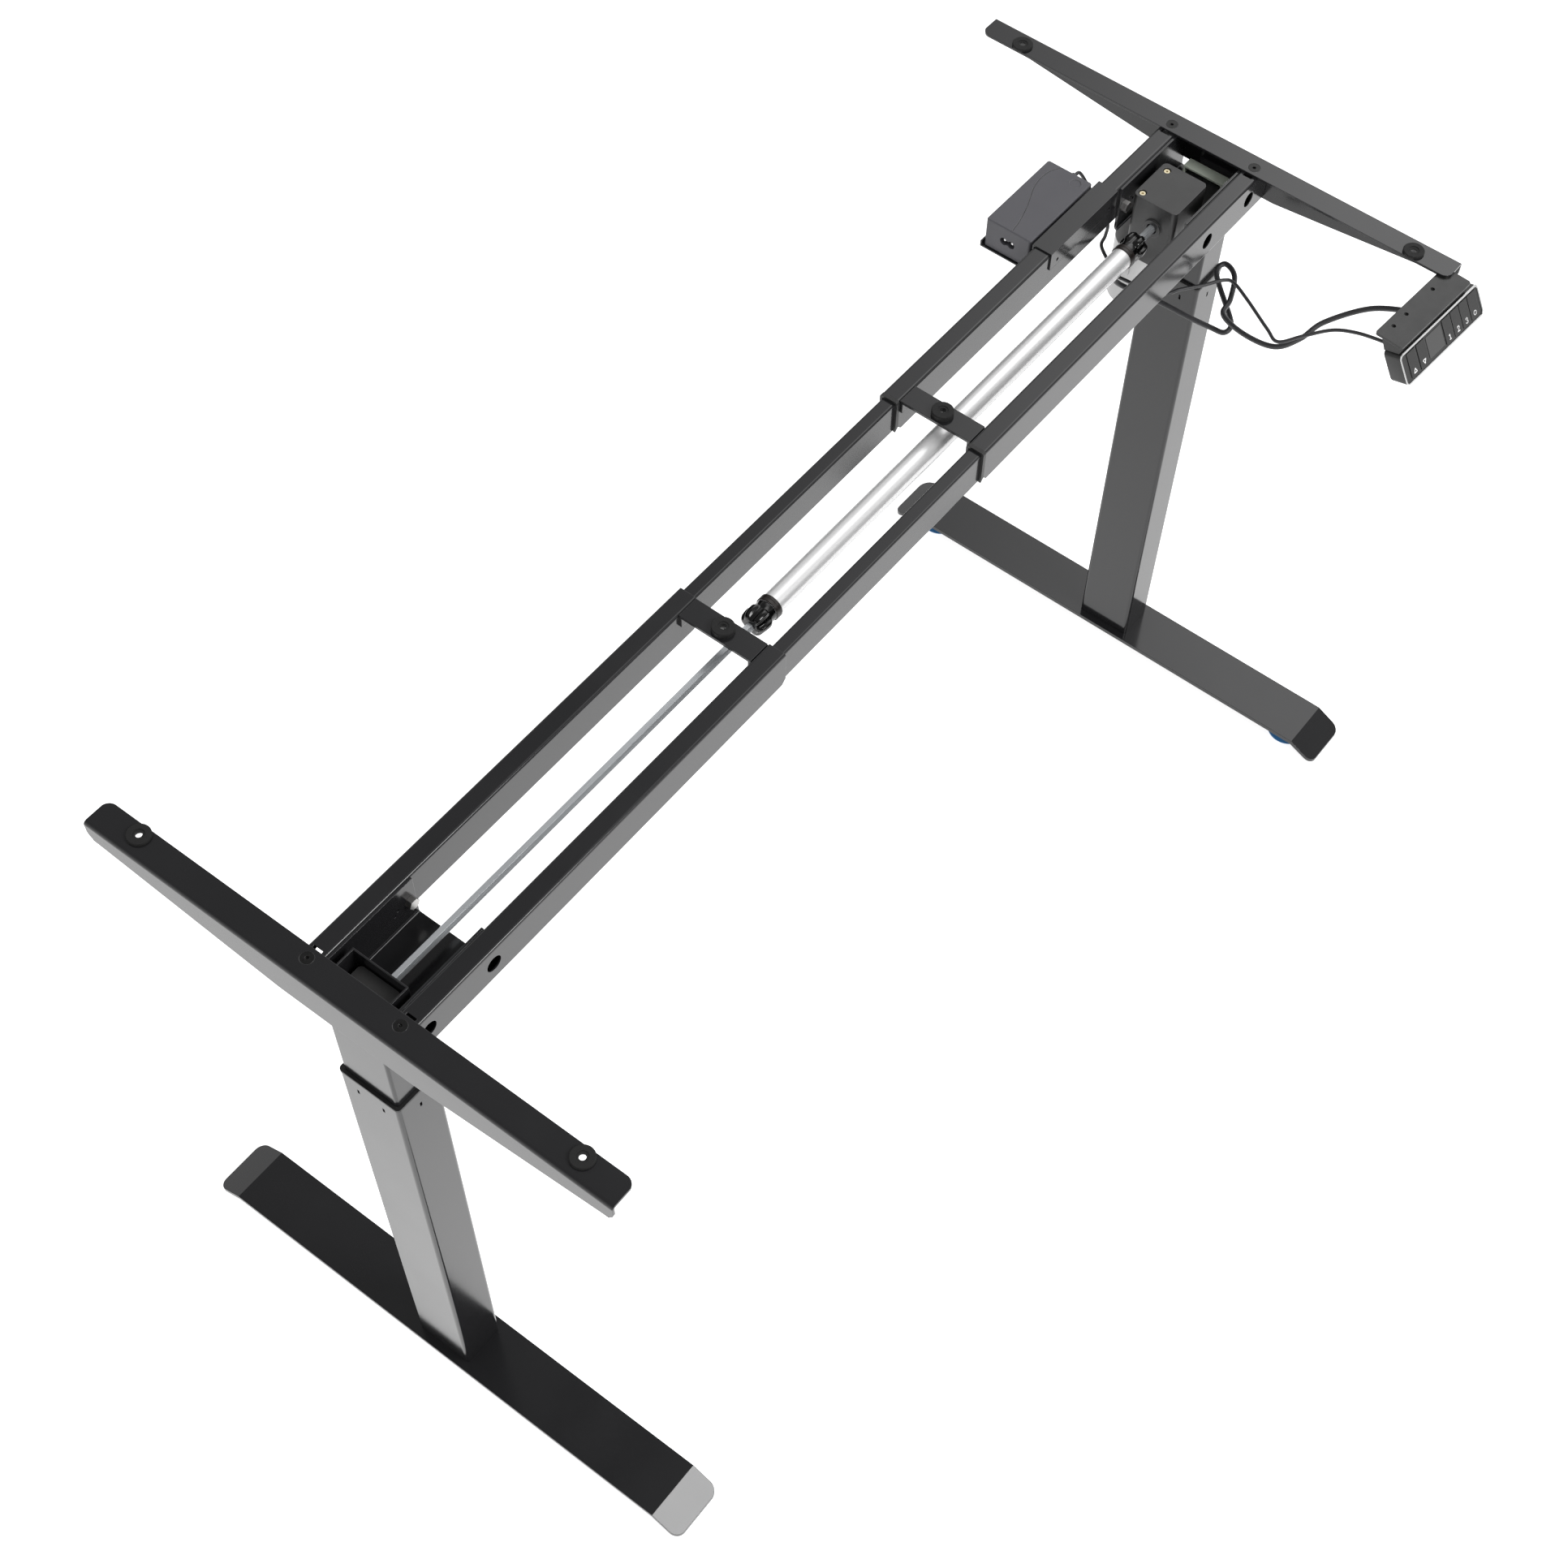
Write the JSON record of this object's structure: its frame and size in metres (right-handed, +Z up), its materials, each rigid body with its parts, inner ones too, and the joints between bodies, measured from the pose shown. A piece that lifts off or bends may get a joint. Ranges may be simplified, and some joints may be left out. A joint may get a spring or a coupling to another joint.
{
  "type": "standing desk frame",
  "caption": "Height adjustable desk frame with telescoping legs and rails, a hex drive shaft between the legs, a motor gearbox, a power supply and a push button handset.",
  "frame": {"origin": "on the floor under the middle of the frame, legs fully lowered", "axes": "+X along the rails towards the motor end, +Y from the handset side to the power supply side, +Z up"},
  "size_m": [1.268, 0.627, 0.733],
  "materials": {
    "powder_coat": "semi-gloss powder coat",
    "black_plastic": "moulded, satin",
    "black_steel": "black oxide",
    "zinc": "zinc plated",
    "rubber": "matt",
    "gear_housing": "dark cast housing, satin",
    "brass_screws": "yellow zinc",
    "motor_can": "zinc plated, satin",
    "supply_case": "fine spark texture",
    "pins": "nickel plated",
    "handset_plastic": "fine spark texture",
    "silver_rim": "silver coated",
    "key_plastic": "satin, printed sign",
    "cable": "satin sheath",
    "tube_aluminium": "clear anodised, satin",
    "hex_steel": "bright zinc plated",
    "lift_steel": "greased steel",
    "nut_plastic": "moulded",
    "glide_blue": "moulded, satin"
  },
  "bodies": {
    "motor_end": {"motor_rails": "powder_coat", "motor_inserts": "black_plastic", "motor_crossbar": "powder_coat", "motor_side_bracket": "powder_coat", "motor_screws": "black_steel", "motor_pads": "rubber", "motor_leg_bracket": "powder_coat", "motor_bolts": "zinc", "motor_inner_column": "powder_coat", "gearbox_motor": "gear_housing", "gearbox_screws": "brass_screws", "motor": "motor_can", "psu_tray": "powder_coat", "power_supply": "supply_case", "inlet_pins": "pins", "handset_case": "handset_plastic", "handset_rim": "silver_rim", "motor_cord": "cable", "psu_cord": "cable"},
    "middle": {"middle_rails": "powder_coat"},
    "idle_end": {"idle_rails": "powder_coat", "idle_inserts": "black_plastic", "idle_crossbar": "powder_coat", "idle_side_bracket": "powder_coat", "idle_screws": "black_steel", "idle_pads": "rubber", "idle_leg_bracket": "powder_coat", "idle_bolts": "zinc", "idle_inner_column": "powder_coat", "gearbox_idle": "gear_housing", "gear_shroud": "powder_coat"},
    "motor_leg": {"motor_outer_column": "powder_coat", "motor_guide": "black_plastic", "motor_foot": "powder_coat", "motor_nut_tube": "lift_steel", "motor_nut": "nut_plastic"},
    "idle_leg": {"idle_outer_column": "powder_coat", "idle_guide": "black_plastic", "idle_foot": "powder_coat", "idle_nut_tube": "lift_steel", "idle_nut": "nut_plastic"},
    "motor_lift_screw": {"motor_lead_screw": "lift_steel"},
    "idle_lift_screw": {"idle_lead_screw": "lift_steel"},
    "drive": {"drive_tube": "tube_aluminium", "tube_rings": "black_plastic", "hand_knobs": "black_plastic", "hex_stub": "hex_steel"},
    "rod": {"hex_rod": "hex_steel"},
    "key_up_button": {"key_up": "key_plastic"},
    "key_down_button": {"key_down": "key_plastic"},
    "key_one_button": {"key_one": "key_plastic"},
    "key_two_button": {"key_two": "key_plastic"},
    "key_three_button": {"key_three": "key_plastic"},
    "key_store_button": {"key_store": "key_plastic"},
    "motor_glide_front_foot": {"motor_glide_front": "glide_blue"},
    "motor_glide_rear_foot": {"motor_glide_rear": "glide_blue"},
    "idle_glide_front_foot": {"idle_glide_front": "glide_blue"},
    "idle_glide_rear_foot": {"idle_glide_rear": "glide_blue"}
  },
  "joints": [
    {"name": "width_motor_side", "type": "slide", "parent": "motor_end", "child": "middle", "axis": [1, 0, 0], "range_m": [-0.12, 0.13]},
    {"name": "width_idle_side", "type": "slide", "parent": "middle", "child": "idle_end", "axis": [1, 0, 0], "range_m": [-0.12, 0.13]},
    {"name": "motor_leg_lift", "type": "slide", "parent": "motor_end", "child": "motor_leg", "axis": [0, 0, -1], "range_m": [0, 0.47]},
    {"name": "idle_leg_lift", "type": "slide", "parent": "idle_end", "child": "idle_leg", "axis": [0, 0, -1], "range_m": [0, 0.47]},
    {"name": "motor_screw_turn", "type": "hinge", "parent": "motor_end", "child": "motor_lift_screw", "pos_m": [0.6015, 0, 0.5], "axis": [0, 0, 1], "range_deg": [0, 21160]},
    {"name": "idle_screw_turn", "type": "hinge", "parent": "idle_end", "child": "idle_lift_screw", "pos_m": [-0.6015, 0, 0.5], "axis": [0, 0, 1], "range_deg": [0, 21160]},
    {"name": "drive_tube_turn", "type": "hinge", "parent": "motor_end", "child": "drive", "pos_m": [0.2, 0, 0.696], "axis": [1, 0, 0], "range_deg": [0, 21160]},
    {"name": "hex_rod_turn", "type": "hinge", "parent": "idle_end", "child": "rod", "pos_m": [-0.2, 0, 0.696], "axis": [1, 0, 0], "range_deg": [0, 21160]},
    {"name": "key_up_press", "type": "slide", "parent": "motor_end", "child": "key_up_button", "axis": [0.0532, 0.8464, -0.5299], "range_m": [0, 0.0008], "stiffness_N_per_m": 600},
    {"name": "key_down_press", "type": "slide", "parent": "motor_end", "child": "key_down_button", "axis": [0.0532, 0.8464, -0.5299], "range_m": [0, 0.0008], "stiffness_N_per_m": 600},
    {"name": "key_one_press", "type": "slide", "parent": "motor_end", "child": "key_one_button", "axis": [0.0532, 0.8464, -0.5299], "range_m": [0, 0.0008], "stiffness_N_per_m": 600},
    {"name": "key_two_press", "type": "slide", "parent": "motor_end", "child": "key_two_button", "axis": [0.0532, 0.8464, -0.5299], "range_m": [0, 0.0008], "stiffness_N_per_m": 600},
    {"name": "key_three_press", "type": "slide", "parent": "motor_end", "child": "key_three_button", "axis": [0.0532, 0.8464, -0.5299], "range_m": [0, 0.0008], "stiffness_N_per_m": 600},
    {"name": "key_store_press", "type": "slide", "parent": "motor_end", "child": "key_store_button", "axis": [0.0532, 0.8464, -0.5299], "range_m": [0, 0.0008], "stiffness_N_per_m": 600},
    {"name": "motor_glide_front_level", "type": "slide", "parent": "motor_leg", "child": "motor_glide_front_foot", "axis": [0, 0, -1], "range_m": [0, 0.008]},
    {"name": "motor_glide_rear_level", "type": "slide", "parent": "motor_leg", "child": "motor_glide_rear_foot", "axis": [0, 0, -1], "range_m": [0, 0.008]},
    {"name": "idle_glide_front_level", "type": "slide", "parent": "idle_leg", "child": "idle_glide_front_foot", "axis": [0, 0, -1], "range_m": [0, 0.008]},
    {"name": "idle_glide_rear_level", "type": "slide", "parent": "idle_leg", "child": "idle_glide_rear_foot", "axis": [0, 0, -1], "range_m": [0, 0.008]}
  ],
  "couplings": [
    {"joint": "idle_leg_lift", "follows": "motor_leg_lift", "ratio": 1},
    {"joint": "motor_screw_turn", "follows": "motor_leg_lift", "rad_per_m": 785.4},
    {"joint": "idle_screw_turn", "follows": "motor_leg_lift", "rad_per_m": 785.4},
    {"joint": "drive_tube_turn", "follows": "motor_leg_lift", "rad_per_m": 785.4},
    {"joint": "hex_rod_turn", "follows": "motor_leg_lift", "rad_per_m": 785.4}
  ]
}
